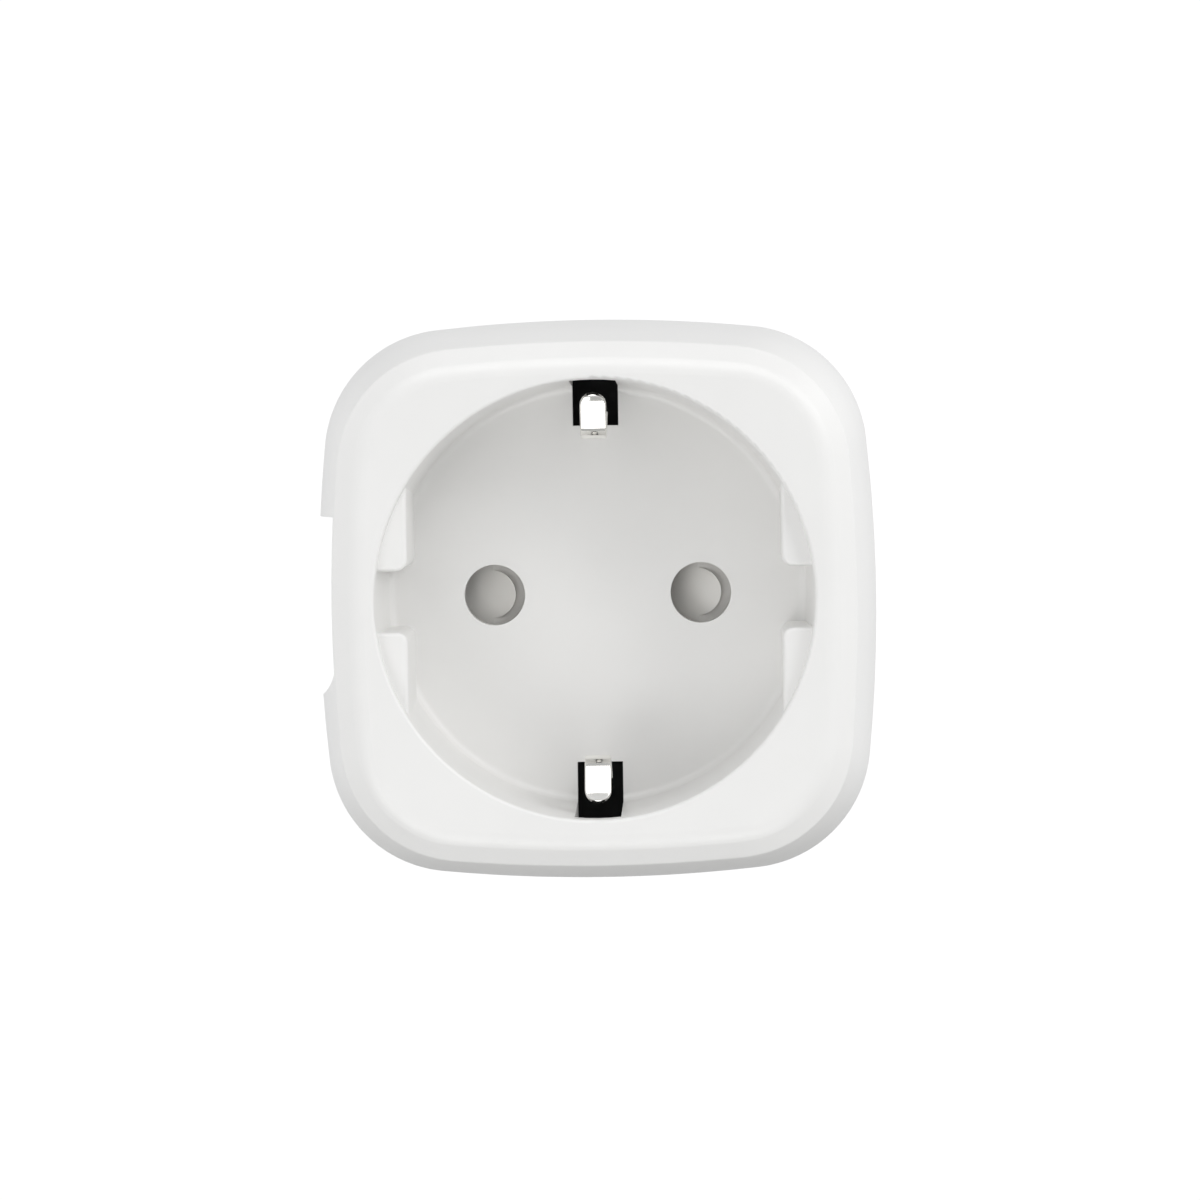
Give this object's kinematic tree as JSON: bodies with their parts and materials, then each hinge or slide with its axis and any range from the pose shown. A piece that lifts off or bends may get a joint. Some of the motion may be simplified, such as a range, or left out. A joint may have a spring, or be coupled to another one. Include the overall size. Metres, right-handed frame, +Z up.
{
  "type": "smart plug",
  "caption": "Plug-in smart switch: rounded-square white housing with a recessed earthed round-pin socket in front, a power button on the flank and the matching plug behind.",
  "frame": {"origin": "centre of the flat plane at the back of the housing that rests against the wall plate, midway between the two plug pins", "axes": "+Y into the wall along the plug pins, +Z up, +X to the right as seen from the room"},
  "size_m": [0.051, 0.0745, 0.0512],
  "materials": {
    "white_plastic": "satin moulded white plastic, fine grain",
    "button_plastic": "satin white plastic",
    "clear_plastic": "clear moulded light pipe",
    "shutter_plastic": "off-white low-friction plastic",
    "retainer_plastic": "pale grey plastic",
    "nickel": "bright nickel plating on brass",
    "brass": "stamped brass",
    "zinc_steel": "zinc-plated steel",
    "spring_steel": "drawn spring wire",
    "circuit_board": "glossy solder mask on glass epoxy",
    "black_plastic": "moulded black epoxy and nylon",
    "ceramic_white": "glazed ceramic",
    "led_lens": "cast clear epoxy",
    "earth_insulation": "green wire insulation with a yellow stripe",
    "relay_case": "blue moulded case",
    "capacitor_sleeve": "shrink sleeve on an aluminium can",
    "film_capacitor_case": "yellow potted case",
    "varistor_coat": "dipped blue epoxy",
    "fuse_coat": "green flameproof lacquer",
    "shunt_metal": "copper-manganese strip"
  },
  "bodies": {
    "housing": {"front_cover": "white_plastic", "body_shell": "white_plastic", "rear_cover": "white_plastic", "housing_screws": "zinc_steel", "retainer_screws": "zinc_steel", "light_pipe": "clear_plastic", "control_board": "circuit_board", "tact_switch_case": "black_plastic", "status_led": "led_lens", "radio_shield": "nickel", "chip_antenna": "ceramic_white", "board_header": "black_plastic", "shutter_retainer": "retainer_plastic", "shutter_spring": "spring_steel", "earth_strip_top": "nickel", "earth_strip_bottom": "nickel", "earth_pin_socket": "nickel", "earth_socket_lead": "brass", "earth_wire": "earth_insulation", "live_contact": "brass", "neutral_contact": "brass", "live_pin": "nickel", "neutral_pin": "nickel", "live_strap": "brass", "neutral_strap": "brass", "main_board": "circuit_board", "relay": "relay_case", "bulk_capacitors": "capacitor_sleeve", "film_capacitor": "film_capacitor_case", "varistor": "varistor_coat", "filter_inductor": "black_plastic", "fuse_resistor": "fuse_coat", "bridge_rectifier": "black_plastic", "converter_chip": "black_plastic", "metering_chip": "black_plastic", "current_shunt": "shunt_metal", "clip_guide_top": "black_plastic", "clip_guide_bottom": "black_plastic"},
    "power_button": {"power_button": "button_plastic"},
    "switch_plunger": {"tact_switch_plunger": "black_plastic"},
    "shutter": {"shutter": "shutter_plastic"},
    "clip_top": {"earth_clip_top": "nickel"},
    "clip_bottom": {"earth_clip_bottom": "nickel"}
  },
  "joints": [
    {"name": "button_press", "type": "slide", "parent": "housing", "child": "power_button", "axis": [1, 0, 0], "range_m": [0, 0.0004], "stiffness_N_per_m": 3000, "springref_m": -0.0002},
    {"name": "switch_press", "type": "slide", "parent": "housing", "child": "switch_plunger", "axis": [1, 0, 0], "range_m": [0, 0.0004]},
    {"name": "shutter_slide", "type": "slide", "parent": "housing", "child": "shutter", "axis": [1, 0, 0], "range_m": [0, 0.006], "stiffness_N_per_m": 150, "springref_m": -0.003, "deforming": ["shutter_spring"]},
    {"name": "earth_clip_top_flex", "type": "hinge", "parent": "housing", "child": "clip_top", "pos_m": [0, -0.0152, 0.0176], "axis": [-1, 0, 0], "range_deg": [0, 6], "stiffness_Nm_per_rad": 0.6},
    {"name": "earth_clip_bottom_flex", "type": "hinge", "parent": "housing", "child": "clip_bottom", "pos_m": [0, -0.0152, -0.0176], "axis": [1, 0, 0], "range_deg": [0, 6], "stiffness_Nm_per_rad": 0.6}
  ],
  "couplings": [
    {"joint": "switch_press", "follows": "button_press", "ratio": 1}
  ]
}
